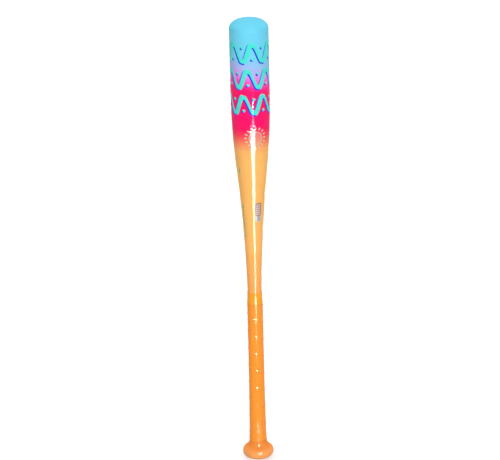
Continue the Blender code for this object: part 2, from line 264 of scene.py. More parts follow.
def tube_outline():
    """The closed outline of the tube, outside from the mouth down and inside back up."""
    mouth = CAP_SEAM - HAIRLINE
    foot = WELD_HEIGHT + FIT_GAP / 2
    chamfer = foot + WELD_LEG
    rings = heights(chamfer, FLARE_TOP, 20)[:-1] + heights(FLARE_TOP, TAPER_FOOT, 8)
    rings += heights(TAPER_FOOT, TAPER_TOP, 62)[1:] + heights(TAPER_TOP, mouth - MOUTH_ROUND, 12)[1:]
    outside = [(tube_radius(z), z) for z in reversed(rings)]
    lip = arc((BARREL_RADIUS - MOUTH_ROUND, mouth - MOUTH_ROUND), LIP, 90, 0, 4)[:-1]
    end = [(tube_radius(foot) - WELD_LEG, foot)]
    inside = [(tube_bore(z), z) for z in (foot, *rings[2:-1:2], mouth)]
    return lip + outside + end + inside


painted_tube = stand_in(turned("painted_tube", tube_outline()), "bat_tube")

# %% [markdown]
# ## The cap
#
# The cap is a moulding. A wide rounding climbs from the barrel's side to a crown that is nearly flat,
# and a skirt plugs into the barrel. Adhesive in the skirt's groove holds it. The real cap follows the
# barrel's side exactly, so the rounding ends in a short straight band, and only a hairline shows
# between cap and tube.

# %% Turn the cap
CAP_ROUND_WIDTH = 0.0225
CAP_WALL = 0.0028
CAP_SKIRT = 0.0170
CAP_SKIRT_CHAMFER = 0.0010
GROOVE_DROP = 0.0060
GROOVE_WIDTH = 0.0042
GROOVE_DEPTH = 0.0014


def smooth(share):
    """The share from 0 to 1 eased at both ends."""
    share = min(1.0, max(0.0, share))
    return share * share * (3 - 2 * share)


def cap_outline():
    """The closed outline of the cap: crown, rounding and skirt outside, then back up inside."""
    crown = BARREL_RADIUS - CAP_ROUND_WIDTH
    skirt = tube_bore(CAP_SEAM) - FIT_GAP
    skirt_end = CAP_SEAM - CAP_SKIRT
    groove_top = CAP_SEAM - GROOVE_DROP
    groove_end = groove_top - GROOVE_WIDTH
    bore = skirt - GROOVE_DEPTH - CAP_WALL / 2
    middle = [(crown * i / 6, bat_height - CAP_CROWN_RISE * (i / 6) ** 2) for i in range(6)]
    rim = arc((crown, CAP_SEAM + CAP_BAND), (CAP_ROUND_WIDTH, CAP_ROUND_HEIGHT), 90, 0, 32)
    band = [(BARREL_RADIUS, CAP_SEAM + MOUTH_ROUND), (BARREL_RADIUS - MOUTH_ROUND, CAP_SEAM)]
    plug = [(skirt, CAP_SEAM), (skirt, groove_top), (skirt - GROOVE_DEPTH, groove_top)]
    plug += [(skirt - GROOVE_DEPTH, groove_end), (skirt, groove_end)]
    plug += [(skirt, skirt_end + CAP_SKIRT_CHAMFER), (skirt - CAP_SKIRT_CHAMFER, skirt_end)]
    plug += [(bore, skirt_end)]
    hollow = (bore - crown, CAP_ROUND_TOP - CAP_WALL - CAP_SEAM)
    inside = arc((crown, CAP_SEAM), hollow, 0, 90, 12)
    return middle + rim + band + plug + inside + [(0, CAP_ROUND_TOP - CAP_WALL)]


moulded_cap = stand_in(turned("moulded_cap", cap_outline()), "end_cap")

# %% [markdown]
# ## The knob
#
# The knob keeps the hand from slipping off. It is turned from a bar: a flat foot with a shallow recess,
# a round belly, a hollow curve up to the neck, and a spigot that the tube is welded over. Its belly is
# two ellipses that meet at its widest place. The upper one runs out on a slope, and the hollow curve
# takes over from there: it leaves along that slope and arrives upright at the neck, so no edge shows
# between them.

# %% Turn the knob
KNOB_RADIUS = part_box("knob")[1].x
KNOB_FOOT_ROUND = 0.0110
KNOB_FOOT_HEIGHT = 0.0088
KNOB_TOP_ROUND = 0.0097
KNOB_TOP_HEIGHT = 0.0099
KNOB_TOP_TURN = math.radians(64)
KNOB_EASE_HEIGHT = 0.0090
KNOB_SHOULDER = KNOB_FOOT_HEIGHT + KNOB_TOP_HEIGHT + KNOB_EASE_HEIGHT
SPIGOT_LENGTH = 0.0140
SPIGOT_CHAMFER = 0.0008
KNOB_BORE = 0.0060
DISC_RADIUS = 0.0100
DISC_THICKNESS = 0.0012
DISC_SET_BACK = 0.0003
BUNG_FLANGE_RADIUS = 0.0080
BUNG_FLANGE_THICKNESS = 0.0020
GRIP_THICKNESS = 0.00115
RECESS_ROUND = 0.0003


def hollow_curve(start, corner, end, steps):
    """Points of a smooth curve that leaves start towards the corner and reaches end from the corner."""
    points = []
    for i in range(steps + 1):
        turn = math.pi / 2 * i / steps
        near, far = 1 - math.sin(turn), 1 - math.cos(turn)
        points.append(tuple(c + (s - c) * near + (e - c) * far for s, c, e in zip(start, corner, end)))
    return points


def knob_outline():
    """The closed outline of the knob, from its foot over the belly and neck, and back down the bore."""
    foot = KNOB_RADIUS - KNOB_FOOT_ROUND
    shoulder = KNOB_RADIUS - KNOB_TOP_ROUND
    ledge = held_radius(KNOB_SHOULDER) + FIT_GAP + GRIP_THICKNESS
    neck_end = WELD_HEIGHT - FIT_GAP / 2
    spigot_end = WELD_HEIGHT + SPIGOT_LENGTH
    spigot = tube_bore(spigot_end) - FIT_GAP
    recess = DISC_SET_BACK + DISC_THICKNESS + FIT_GAP
    counterbore = recess + BUNG_FLANGE_THICKNESS + FIT_GAP
    flange = BUNG_FLANGE_RADIUS + FIT_GAP
    disc = DISC_RADIUS + FIT_GAP
    outline = arc((foot, KNOB_FOOT_HEIGHT), (KNOB_FOOT_ROUND, KNOB_FOOT_HEIGHT), -90, 0, 20)
    top_round = (KNOB_TOP_ROUND, KNOB_TOP_HEIGHT)
    outline += arc((shoulder, KNOB_FOOT_HEIGHT), top_round, 0, math.degrees(KNOB_TOP_TURN), 14)[1:]
    edge = outline[-1]
    fall = KNOB_TOP_HEIGHT * math.cos(KNOB_TOP_TURN) / (KNOB_TOP_ROUND * math.sin(KNOB_TOP_TURN))
    corner = (ledge, edge[1] + (edge[0] - ledge) * fall)
    outline += hollow_curve(edge, corner, (ledge, KNOB_SHOULDER), 18)[1:]
    outline += [(held_radius(z), z) for z in heights(KNOB_SHOULDER, neck_end - WELD_LEG, 8)]
    outline += [(held_radius(neck_end) - WELD_LEG, neck_end), (spigot, neck_end)]
    outline += [(spigot, spigot_end - SPIGOT_CHAMFER), (spigot - SPIGOT_CHAMFER, spigot_end)]
    outline += [(KNOB_BORE, spigot_end), (KNOB_BORE, counterbore), (flange, counterbore)]
    outline += [(flange, recess), (disc, recess), (disc, RECESS_ROUND)]
    outline += arc((disc + RECESS_ROUND, RECESS_ROUND), (RECESS_ROUND, RECESS_ROUND), 180, 270, 4)[1:]
    return outline


turned_knob = stand_in(turned("turned_knob", knob_outline()), "knob")

# %% [markdown]
# ## The disc in the foot
#
# A plain moulded disc closes the recess under the knob. It is set back by a third of a millimetre, so
# the bat stands on the knob and not on the disc. Two shallow rings in its face stiffen it, as on a real
# moulding.

# %% Turn the disc
DISC_BEVEL = 0.0003
DISC_MIDDLE = 0.0020
RING_STARTS = (0.0036, 0.0072)
RING_DEPTH = 0.0002
RING_WIDTH = 0.0009


def disc_outline():
    """The closed outline of the disc: its lower face with the rings, its rim and its top."""
    foot = DISC_SET_BACK
    top = DISC_SET_BACK + DISC_THICKNESS
    face = [(0, foot), (DISC_MIDDLE, foot)]
    for ring in RING_STARTS:
        face += [(ring, foot), (ring + RING_WIDTH / 3, foot + RING_DEPTH)]
        face += [(ring + RING_WIDTH * 2 / 3, foot + RING_DEPTH), (ring + RING_WIDTH, foot)]
    bevel = arc((DISC_RADIUS - DISC_BEVEL, foot + DISC_BEVEL), (DISC_BEVEL, DISC_BEVEL), -90, 0, 5)
    return face + bevel + [(DISC_RADIUS, top), (0, top)]


foot_disc = stand_in(turned("foot_disc", disc_outline(), steps=96), "knob_disc")

# %% [markdown]
# ## The wound grip
#
# The grip is a long ribbon of soft tape. It starts at the knob and climbs round the handle with each
# turn lying against the last. The lower edge of every turn stands slightly proud, which gives the hand
# its hold. A Screw modifier sweeps one cross-section along the helix. The handle isn't quite straight,
# so each vertex is then moved in or out to the radius of what lies under it. Two level cuts trim the
# ends, as a knife does at the knob and under the collar.

# %% Sizes of the ribbon
GRIP_FOOT = KNOB_SHOULDER + FIT_GAP
GRIP_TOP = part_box("grip_tape")[1].z
GRIP_PITCH = 0.02756
GRIP_SEAM = 0.00008
RIDGE_HEIGHT = 0.00036
RIDGE_CREST = 0.0009
RIDGE_WIDTH = 0.0032
EDGE_ROUND = 0.0004
EDGE = (EDGE_ROUND, EDGE_ROUND)
FIRST_EDGE = KNOB_SHOULDER + 0.0329
GRIP_TIP_WIDTH = 0.0015
WINDING_STEPS = 96
ENDS_PER_TURN = 24
REFERENCE_RADIUS = HANDLE_RADIUS
RIBBON_WIDTH = GRIP_PITCH - GRIP_SEAM


def ribbon_thickness(up):
    """Thickness at a distance above the ribbon's lower edge: a ridge that eases into the flat tape."""
    eased = smooth((up - RIDGE_CREST) / (RIDGE_WIDTH - RIDGE_CREST))
    return GRIP_THICKNESS + RIDGE_HEIGHT * (1 - eased)


def ribbon_section():
    """The closed cross-section of the ribbon as (r, up) points, on a handle of REFERENCE_RADIUS."""
    crest = ribbon_thickness(0)
    lower = arc((crest - EDGE_ROUND, EDGE_ROUND), EDGE, -90, 0, 5)
    slope = [(ribbon_thickness(up), up) for up in heights(RIDGE_CREST, RIDGE_WIDTH, 10)]
    flat = [(GRIP_THICKNESS, up) for up in heights(RIDGE_WIDTH, RIBBON_WIDTH - EDGE_ROUND, 5)[1:-1]]
    upper = arc((GRIP_THICKNESS - EDGE_ROUND, RIBBON_WIDTH - EDGE_ROUND), EDGE, 0, 90, 5)
    inside = [(0.0, up) for up in heights(RIBBON_WIDTH, 0, 10)]
    section = lower + slope + flat + upper + inside
    return [(REFERENCE_RADIUS + FIT_GAP + thick, up) for thick, up in section]


# %% Wind the ribbon
def wound_ribbon_piece():
    """One ribbon wound up the handle, clockwise as seen from the cap, and trimmed level at both ends."""
    first = (GRIP_FOOT + GRIP_TIP_WIDTH - RIBBON_WIDTH - FIRST_EDGE) / GRIP_PITCH
    first = math.ceil(first * ENDS_PER_TURN) / ENDS_PER_TURN
    last = (GRIP_TOP - GRIP_TIP_WIDTH - FIRST_EDGE) / GRIP_PITCH
    last = math.floor(last * ENDS_PER_TURN) / ENDS_PER_TURN
    turns = last - first
    section = ribbon_section()
    piece = draw_outline("wound_ribbon", [*section, section[0]])
    bpy.ops.object.mode_set(mode="OBJECT")
    screw = piece.modifiers.new("winding", "SCREW")
    screw.axis = "Z"
    screw.angle = -math.tau * turns
    screw.screw_offset = GRIP_PITCH * turns
    screw.steps = round(WINDING_STEPS * turns)
    screw.render_steps = screw.steps
    bpy.ops.object.modifier_apply(modifier=screw.name)
    piece.rotation_euler.z = -math.pi / 2 - math.tau * first
    piece.location.z = FIRST_EDGE + GRIP_PITCH * first
    bpy.ops.object.transform_apply(location=True, rotation=True, scale=True)
    for vertex in piece.data.vertices:
        across = vertex.co.xy.length
        radius = across - REFERENCE_RADIUS + held_radius(vertex.co.z)
        vertex.co.x *= radius / across
        vertex.co.y *= radius / across
    bpy.ops.object.mode_set(mode="EDIT")
    bpy.ops.mesh.select_all(action="SELECT")
    bpy.ops.mesh.fill_holes(sides=0)
    for height, below in ((GRIP_FOOT, True), (GRIP_TOP, False)):
        cut((0, 0, height), (0, 0, 1), use_fill=True, clear_inner=below, clear_outer=not below)
    close_mesh(piece, 40)
    print(f"the ribbon makes {turns:.1f} turns")
    return piece


wound_ribbon = stand_in(wound_ribbon_piece(), "grip_tape")

# %% [markdown]
# ## The collar
#
# A rubber collar finishes the top of the tape. Its lower band is as thick as the tape. Above it the
# collar slopes down to a thin tail, which was rolled up the bare tube. It is turned like the others,
# with its edges rounded in the outline, because soft rubber has no sharp corner.

# %% Turn the collar
COLLAR_LENGTH = 0.0185
COLLAR_BAND = 0.0016
COLLAR_TAIL = 0.0085
COLLAR_LIP = 0.00035
COLLAR_ROUND = 0.0003


def collar_outline():
    """The closed outline of the collar: band, slope and tail outside, the tube's curve inside."""
    foot = GRIP_TOP + FIT_GAP
    top = foot + COLLAR_LENGTH
    tail_foot = top - COLLAR_TAIL
    inside = [(held_radius(z) + FIT_GAP, z) for z in heights(top, foot, 8)]
    band = held_radius(foot) + FIT_GAP + GRIP_THICKNESS
    outline = arc((band - COLLAR_ROUND, foot + COLLAR_ROUND), (COLLAR_ROUND, COLLAR_ROUND), -90, 0, 4)
    for z in heights(foot + COLLAR_BAND, tail_foot, 12):
        fallen = smooth((z - foot - COLLAR_BAND) / (tail_foot - foot - COLLAR_BAND))
        thickness = GRIP_THICKNESS + (COLLAR_LIP - GRIP_THICKNESS) * fallen
        outline.append((held_radius(z) + FIT_GAP + thickness, z))
    outline += [(held_radius(z) + FIT_GAP + COLLAR_LIP, z) for z in heights(tail_foot, top, 4)[1:]]
    return outline + inside


rubber_collar = stand_in(turned("rubber_collar", collar_outline()), "grip_collar")

# %% [markdown]
# ## The foil label
#
# A small foil label lies on the taper, to the right of the front. It is flat foil that was rubbed down,
# so it follows the tube exactly. A flat sheet is cut first, with rounded corners, and then bent: the
# distance across the sheet becomes an angle round the axis. A Solidify modifier gives it its thickness.

# %% Bend the label on to the tube
LABEL_WIDTH = 0.0080
LABEL_LENGTH = 0.0290
LABEL_THICKNESS = 0.0004
LABEL_CORNER = 0.0010
LABEL_COLUMNS = 12
LABEL_ROWS = 16
LABEL_MIDDLE = TAPER_TOP - 0.1752
LABEL_TURN = math.radians(28)


def label_piece():
    """The label as a thin curved sheet with rounded corners, a fit gap above the paint."""
    bpy.ops.mesh.primitive_plane_add(size=1)
    piece = bpy.context.object
    piece.name = "blank_label"
    piece.data.name = "blank_label"
    bpy.ops.object.mode_set(mode="EDIT")
    bpy.ops.mesh.select_all(action="SELECT")
    bpy.ops.transform.resize(value=(LABEL_WIDTH, LABEL_LENGTH, 1), center_override=(0, 0, 0))
    bpy.ops.mesh.bevel(offset=LABEL_CORNER, segments=6, affect="VERTICES", profile=0.5)
    for column in range(1, LABEL_COLUMNS):
        cut((LABEL_WIDTH * (column / LABEL_COLUMNS - 0.5), 0, 0), (1, 0, 0))
    for row in range(1, LABEL_ROWS):
        cut((0, LABEL_LENGTH * (row / LABEL_ROWS - 0.5), 0), (0, 1, 0))
    bpy.ops.object.mode_set(mode="OBJECT")
    around = tube_radius(LABEL_MIDDLE)
    for vertex in piece.data.vertices:
        angle = LABEL_TURN + vertex.co.x / around
        z = LABEL_MIDDLE + vertex.co.y
        radius = tube_radius(z) + FIT_GAP
        vertex.co = (radius * math.sin(angle), -radius * math.cos(angle), z)
    solid = piece.modifiers.new("foil", "SOLIDIFY")
    solid.thickness = LABEL_THICKNESS
    solid.offset = 1
    bpy.ops.object.modifier_apply(modifier=solid.name)
    bevel = piece.modifiers.new("edge", "BEVEL")
    bevel.width = LABEL_THICKNESS / 4
    bevel.segments = 2
    bevel.limit_method = "ANGLE"
    bpy.ops.object.modifier_apply(modifier=bevel.name)
    bpy.ops.object.mode_set(mode="EDIT")
    close_mesh(piece)
    return piece


blank_label = stand_in(label_piece(), "foil_label")

# %% [markdown]
# ## Writing materials as formulas
#
# A material is a network of nodes, but a long network is hard to read. This small class wraps one
# output of a node. Arithmetic on it adds Math nodes, so a pattern can be written as a formula. One
# method adds every other kind of node, and another mixes colours.

# %% A wire between nodes
def rgb(red, green, blue):
    """A screen colour from 0 to 255 as the linear colour that Blender works in."""
    def linear(value):
        share = value / 255
        return share / 12.92 if share <= 0.04045 else ((share + 0.055) / 1.055) ** 2.4
    return (linear(red), linear(green), linear(blue), 1.0)


class Wire:
    """One output socket. Arithmetic on it adds Math nodes to the same material."""

    def __init__(self, socket):
        self.socket = socket

    def node(self, kind, settings=None, inputs=None, output=0):
        """Adds a node: its settings first, then the values or links of its sockets."""
        tree = self.socket.id_data
        made = tree.nodes.new(kind)
        for name, value in (settings or {}).items():
            if name == "stops":
                set_stops(made.color_ramp, value)
            else:
                setattr(made, name, value)
        for key, value in (inputs or {}).items():
            if isinstance(value, Wire):
                tree.links.new(value.socket, made.inputs[key])
            else:
                made.inputs[key].default_value = value
        return Wire(made.outputs[output])

    def maths(self, operation, *others):
        """One Math node with this value first."""
        return self.node("ShaderNodeMath", {"operation": operation}, dict(enumerate((self, *others))))

    def __add__(self, other):
        return self.maths("ADD", other)

    __radd__ = __add__

    def __sub__(self, other):
        return self.maths("SUBTRACT", other)

    def __rsub__(self, other):
        return self.node("ShaderNodeMath", {"operation": "SUBTRACT"}, {0: other, 1: self})

    def __mul__(self, other):
        return self.maths("MULTIPLY", other)

    def __truediv__(self, other):
        return self.maths("DIVIDE", other)

    def __pow__(self, other):
        return self.maths("POWER", other)

    def __abs__(self):
        return self.maths("ABSOLUTE")

    def rise(self, low, high):
        """0 below low, 1 above high and an eased step between them."""
        settings = {"interpolation_type": "SMOOTHSTEP"}
        inputs = {"Value": self, "From Min": low, "From Max": high}
        return self.node("ShaderNodeMapRange", settings, inputs)

    def tint(self, mask, colour):
        """This colour where the mask is 0, and the other colour where it is 1."""
        inputs = {"Factor": mask, 6: self, 7: colour}
        return self.node("ShaderNodeMix", {"data_type": "RGBA"}, inputs, 2)


def set_stops(ramp, stops):
    """Gives a colour ramp its (position, colour) stops."""
    while len(ramp.elements) > 1:
        ramp.elements.remove(ramp.elements[-1])
    ramp.elements[0].position, ramp.elements[0].color = stops[0]
    for position, colour in stops[1:]:
        ramp.elements.new(position).color = colour


# %% [markdown]
# ## Starting a finish
#
# Every finish starts the same way: a new material, the object's own coordinates in metres, and from
# them the angle round the bat. Values that are the same all over a surface are set on the shader
# itself.
#
# Gloss needs a word. Every smooth surface mirrors strongly at a glancing angle, so in white
# surroundings the rims of a round bat turn pale. A photographer keeps dark cards beside it. Here the
# gloss is thinned instead: a shiny and a dull Principled shader of the same colour are mixed, which
# weakens the mirror at every angle.

# %% The coordinates of a finish
class Finish:
    """A new material with its shaders and the coordinates that its patterns use."""

    def __init__(self, name, gloss=1.0, metallic=0.0):
        self.material = bpy.data.materials.new(name)
        self.material.use_nodes = True
        self.tree = self.material.node_tree
        self.shiny = self.tree.nodes["Principled BSDF"]
        self.shiny.inputs["Metallic"].default_value = metallic
        self.shaders = [self.shiny]
        if gloss < 1:
            self.thin_gloss(gloss)
        self.place = Wire(self.tree.nodes.new("ShaderNodeTexCoord").outputs["Object"])
        split = self.place.node("ShaderNodeSeparateXYZ", inputs={0: self.place}).socket.node
        self.x, y, self.z = (Wire(output) for output in split.outputs)
        self.angle = self.x.maths("ARCTAN2", 0 - y)

    def thin_gloss(self, gloss):
        """Mixes the shiny shader with a dull one, which leaves this share of its gloss."""
        dull = self.tree.nodes.new("ShaderNodeBsdfPrincipled")
        dull.inputs["Specular IOR Level"].default_value = 0.0
        mix = self.tree.nodes.new("ShaderNodeMixShader")
        mix.inputs[0].default_value = 1 - gloss
        self.tree.links.new(self.shiny.outputs[0], mix.inputs[1])
        self.tree.links.new(dull.outputs[0], mix.inputs[2])
        self.tree.links.new(mix.outputs[0], self.tree.nodes["Material Output"].inputs["Surface"])
        self.shaders.append(dull)

    def noise(self, scale, detail=2.0, stretch=(1, 1, 1)):
        """Cloudy noise from about 0 to 1. The scale is the number of features in a metre."""
        settings = {"vector_type": "TEXTURE"}
        place = self.place.node("ShaderNodeMapping", settings, {0: self.place, "Scale": stretch})
        inputs = {"Vector": place, "Scale": scale, "Detail": detail}
        return self.place.node("ShaderNodeTexNoise", inputs=inputs)

    def even(self, colour):
        """A plain colour as a wire, to tint further."""
        return self.place.node("ShaderNodeMix", {"data_type": "RGBA"}, {"Factor": 0.0, 6: colour}, 2)

    def relief(self, height):
        """A Bump node for a height in metres, wired to the shiny shader's Normal."""
        inputs = {"Strength": 1.0, "Distance": 1.0, "Height": height}
        bump = self.place.node("ShaderNodeBump", inputs=inputs)
        self.tree.links.new(bump.socket, self.shiny.inputs["Normal"])

    def wear(self, **surfaces):
        """Wires colours and values that change over the surface to the shaders."""
        for key, value in surfaces.items():
            for shader in self.shaders:
                self.tree.links.new(value.socket, shader.inputs[key.replace("_", " ")])

    def dress(self, piece):
        """Makes this the only material of a piece."""
        piece.data.materials.clear()
        piece.data.materials.append(self.material)


# %% [markdown]
# ## The fade
#
# The tube is sprayed in one go from sky blue through lilac and hot pink to light orange. The colour is
# a ramp over the height. The upper fade was sprayed at a slight tilt, so the height is shifted from
# left to right before it is looked up. Below the fade the orange deepens slowly towards the collar.

# %% The colours of the fade
FADE_FOOT = 0.260
FADE_TOP = 0.680
FADE_TILT = 0.0055
FADE_TILT_ZONE = (0.540, 0.590)
CLOUDS_PER_METRE = 45
CLOUD_SHIFT = 0.004
SKY = rgb(108, 208, 236)
HOT_PINK = rgb(255, 0, 104)
PEACH = rgb(254, 187, 101)
FADE = [
    (0.2700, rgb(252, 170, 89)),
    (0.3300, rgb(252, 178, 94)),
    (0.3380, rgb(253, 184, 99)),
    (0.4700, PEACH),
    (0.4880, rgb(253, 185, 101)),
    (0.4955, rgb(252, 176, 104)),
    (0.5030, rgb(252, 146, 96)),
    (0.5110, rgb(253, 106, 88)),
    (0.5180, rgb(254, 58, 88)),
    (0.5260, rgb(255, 14, 94)),
    (0.5330, HOT_PINK),
    (0.5830, HOT_PINK),
    (0.5900, rgb(254, 38, 146)),
    (0.5980, rgb(248, 84, 194)),
    (0.6050, rgb(224, 132, 226)),
    (0.6120, rgb(186, 166, 234)),
    (0.6200, rgb(150, 188, 236)),
    (0.6320, rgb(122, 202, 236)),
    (0.6450, SKY),
]


def sprayed_fade(finish):
    """The sprayed fade as a colour over the height, a little cloudy where the colours meet."""
    tilt = finish.z.rise(*FADE_TILT_ZONE) * (FADE_TILT / BARREL_RADIUS)
    cloud = (finish.noise(CLOUDS_PER_METRE, 3) - 0.5) * CLOUD_SHIFT
    share = (finish.z + finish.x * tilt + cloud - FADE_FOOT) / (FADE_TOP - FADE_FOOT)
    stops = [((z - FADE_FOOT) / (FADE_TOP - FADE_FOOT), colour) for z, colour in FADE]
    return share.node("ShaderNodeValToRGB", {"stops": stops}, {"Fac": share})


# %% [markdown]
# ## The print on the barrel
#
# The barrel carries three hoops of brush strokes in turquoise with a blue shadow. Each hoop is a sine
# wave bent round the barrel. The distance from a point to the wave is the height difference divided by
# the length of the wave's slope, and the stroke is everything closer than half its width. The shadow is
# the same stroke drawn first, a little to the left and lower. Dots sit in the arches. A whole number of
# waves fits round the barrel, so the pattern closes without a seam.

# %% Strokes and dots
WAVES = 6
WAVE_HEIGHT = 0.0116
STROKE = 0.0058
STROKE_SLANT = 0.00038
DOT_RADIUS = 0.0021
DOT_PLACE = 0.72
INK_EDGE = 0.00015
SHADOW_TURN = -0.062
SHADOW_DROP = -0.0016
TURQUOISE = rgb(70, 224, 208)
ROYAL = rgb(42, 36, 220)
HOOPS = ((0.6400, 0.6), (0.6020, 2.1), (0.5640, 3.6))


def stroke_mask(finish, middle, phase, turn, drop):
    """1 on a wave of brush strokes round the barrel, and 0 away from it."""
    along = (finish.angle - turn) * WAVES + phase
    wave = along.maths("SINE")
    slope = along.maths("COSINE") * (WAVE_HEIGHT * WAVES / BARREL_RADIUS)
    away = finish.z - (middle + drop) - wave * WAVE_HEIGHT
    distance = abs(away) / (slope * slope + 1) ** 0.5
    half = STROKE / 2 + slope * STROKE_SLANT
    return 1 - (distance - half).rise(-INK_EDGE, INK_EDGE)


def dot_mask(finish, middle, phase, turn, drop):
    """1 on a row of round dots, one for each wave."""
    share = ((finish.angle - turn) * (WAVES / math.tau) + phase).maths("FRACT") - 0.5
    across = share * (math.tau * BARREL_RADIUS / WAVES)
    up = finish.z - (middle + drop)
    distance = (across * across + up * up) ** 0.5
    return 1 - (distance - DOT_RADIUS).rise(-INK_EDGE, INK_EDGE)


def barrel_print(finish, colour):
    """The hoops of strokes with dots above and below them, shadow first."""
    for turn, drop, ink in ((SHADOW_TURN, SHADOW_DROP, ROYAL), (0.0, 0.0, TURQUOISE)):
        for middle, phase in HOOPS:
            colour = colour.tint(stroke_mask(finish, middle, phase, turn, drop), ink)
            arch = phase / math.tau + 0.25
            for side, shift in ((-1, 0.0), (1, 0.5)):
                place = middle + side * WAVE_HEIGHT * DOT_PLACE
                colour = colour.tint(dot_mask(finish, place, arch + shift, turn, drop), ink)
    return colour


# %% [markdown]
# ## Small marks on the taper
#
# Below the strokes are a few small printed marks. Near the middle, on the lower fade, sits a little
# sun: a pale disc in a circle with rays, drawn in flat coordinates across and up from its centre. On
# the left a column of slanted green dashes runs down the taper, with one small diamond above it. The
# print film ends in a fine edge below the sun, which shows as a thin darker line.

# %% Sun, dashes and the edge of the film
SUN_TURN = math.radians(14)
SUN_HEIGHT = 0.5140
SUN_RADIUS = 0.0096
SUN_RAYS = 16
RAY_EDGE = (0.25, 0.6)
RAY_START = 0.0124
RAY_END = 0.0166
SUN_LINE = 0.0005
SUN_DISC = 0.28
SUN_INK = 0.85
PALE_MINT = rgb(182, 214, 178)
LEAF_GREEN = rgb(98, 190, 128)
DASH_TURN = math.radians(-56)
DASH_COLUMN = (0.3580, 0.4110)
DASH_PITCH = 0.0066
DASH_HALF_WIDTH = 0.0017
DASH_SLANT = 0.8
DASH_SHARE = (0.15, 0.80, 0.03)
DASH_INK = 0.9
DIAMOND_TURN = math.radians(-53)
DIAMOND_HEIGHT = 0.4615
DIAMOND_PER_RADIAN = 14
DIAMOND_PER_METRE = 180
DIAMOND_EDGE = (0.85, 1.15)
FILM_EDGE = 0.4957
FILM_EDGE_TILT = 0.0041
FILM_EDGE_LINE = 0.00035
FILM_EDGE_SOFT = 0.0002
FILM_EDGE_INK = 0.22
FILM_BROWN = rgb(120, 60, 50)


def band(value, low, high, edge):
    """1 where a value lies between low and high, with soft edges."""
    return value.rise(low - edge, low + edge) * (1 - value.rise(high - edge, high + edge))


def sun_mask(finish):
    """1 on the lines of the small sun, and a part of it inside its circle."""
    across = (finish.angle - SUN_TURN) * tube_radius(SUN_HEIGHT)
    up = finish.z - SUN_HEIGHT
    away = (across * across + up * up) ** 0.5
    turn = up.maths("ARCTAN2", across)
    circle = band(away, SUN_RADIUS - SUN_LINE, SUN_RADIUS + SUN_LINE, INK_EDGE)
    rays = (turn * SUN_RAYS).maths("COSINE").rise(*RAY_EDGE)
    rays = band(away, RAY_START, RAY_END, INK_EDGE) * rays
    disc = (1 - (away - SUN_RADIUS).rise(-INK_EDGE, INK_EDGE)) * SUN_DISC
    return disc.maths("MAXIMUM", circle).maths("MAXIMUM", rays)


def dash_mask(finish):
    """1 on the column of slanted dashes and on the small diamond above it."""
    low, high = DASH_COLUMN
    across = (finish.angle - DASH_TURN) * tube_radius((low + high) / 2)
    share = ((finish.z + across * DASH_SLANT) / DASH_PITCH).maths("FRACT")
    dashes = band(share, *DASH_SHARE) * band(across, -DASH_HALF_WIDTH, DASH_HALF_WIDTH, INK_EDGE)
    column = band(finish.z, low, high, INK_EDGE)
    diamond = abs(finish.angle - DIAMOND_TURN) * DIAMOND_PER_RADIAN
    diamond = diamond + abs(finish.z - DIAMOND_HEIGHT) * DIAMOND_PER_METRE
    return (dashes * column).maths("MAXIMUM", 1 - diamond.rise(*DIAMOND_EDGE))


def film_line(finish):
    """1 on the thin edge of the print film, which dips a little towards the right."""
    height = finish.z + finish.angle.maths("SINE") * FILM_EDGE_TILT
    return band(height, FILM_EDGE - FILM_EDGE_LINE, FILM_EDGE + FILM_EDGE_LINE, FILM_EDGE_SOFT)


# %% [markdown]
# ## The clear coat
#
# A wet clear coat never dries perfectly flat. A shallow ripple, a few hundredths of a millimetre high,
# breaks up the edges of a reflection. Where the print film was shrunk over the shoulder it has fine
# creases across the bat, which cut a reflection into flecks. On the thin handle the swaging hammers
# left it deeper. Polish isn't even either, so the roughness wanders a little. The ripple is a Bump node
# on the shiny shader alone, because only a reflection shows it.

# %% Build the enamel
SHRUNK_ZONE = (0.508, 0.560, 0.006)
CALMER_ZONE = (0.536, 0.546)
HAMMERED_ZONE = (0.290, 0.370)
RIPPLE_HEIGHT = 0.00003
HAMMERED_HEIGHT = 0.00024
CREASE_HEIGHT = 0.00017
CREASE_CALMED = 0.00005

enamel = Finish("faded_enamel", gloss=0.25)
base = sprayed_fade(enamel)
base = barrel_print(enamel, base)
base = base.tint(sun_mask(enamel) * SUN_INK, PALE_MINT)
base = base.tint(dash_mask(enamel) * DASH_INK, LEAF_GREEN)
base = base.tint(film_line(enamel) * FILM_EDGE_INK, FILM_BROWN)
shrunk = band(enamel.z, *SHRUNK_ZONE)
hammered = 1 - enamel.z.rise(*HAMMERED_ZONE)
ripple = enamel.noise(90, 2) * (hammered * HAMMERED_HEIGHT + RIPPLE_HEIGHT)
shrinkage = shrunk * (CREASE_HEIGHT - enamel.z.rise(*CALMER_ZONE) * CREASE_CALMED)
ripple = ripple + enamel.noise(170, 1, stretch=(1, 1, 0.6)) * shrinkage
enamel.wear(Base_Color=base, Roughness=enamel.noise(80, 2) * 0.05 + 0.035)
enamel.relief(ripple)
enamel.dress(painted_tube)

# %% [markdown]
# ## The cap's plastic
#
# The cap is moulded in the same sky blue, but it has no clear coat. Its mould was finely blasted, so
# its gloss is softer, and the grain is a fraction of a millimetre.

# %% Cap plastic
SKY_CLOUD = rgb(92, 196, 226)
BLASTED_HEIGHT = 0.000008

cap_finish = Finish("cap_plastic", gloss=0.25)
cap_cloud = cap_finish.noise(70, 3).rise(0.35, 0.7) * 0.10
cap_colour = cap_finish.even(SKY).tint(cap_cloud, SKY_CLOUD)
cap_finish.wear(Base_Color=cap_colour, Roughness=cap_finish.noise(300, 2) * 0.12 + 0.30)
cap_finish.relief(cap_finish.noise(2200, 1) * BLASTED_HEIGHT)
cap_finish.dress(moulded_cap)
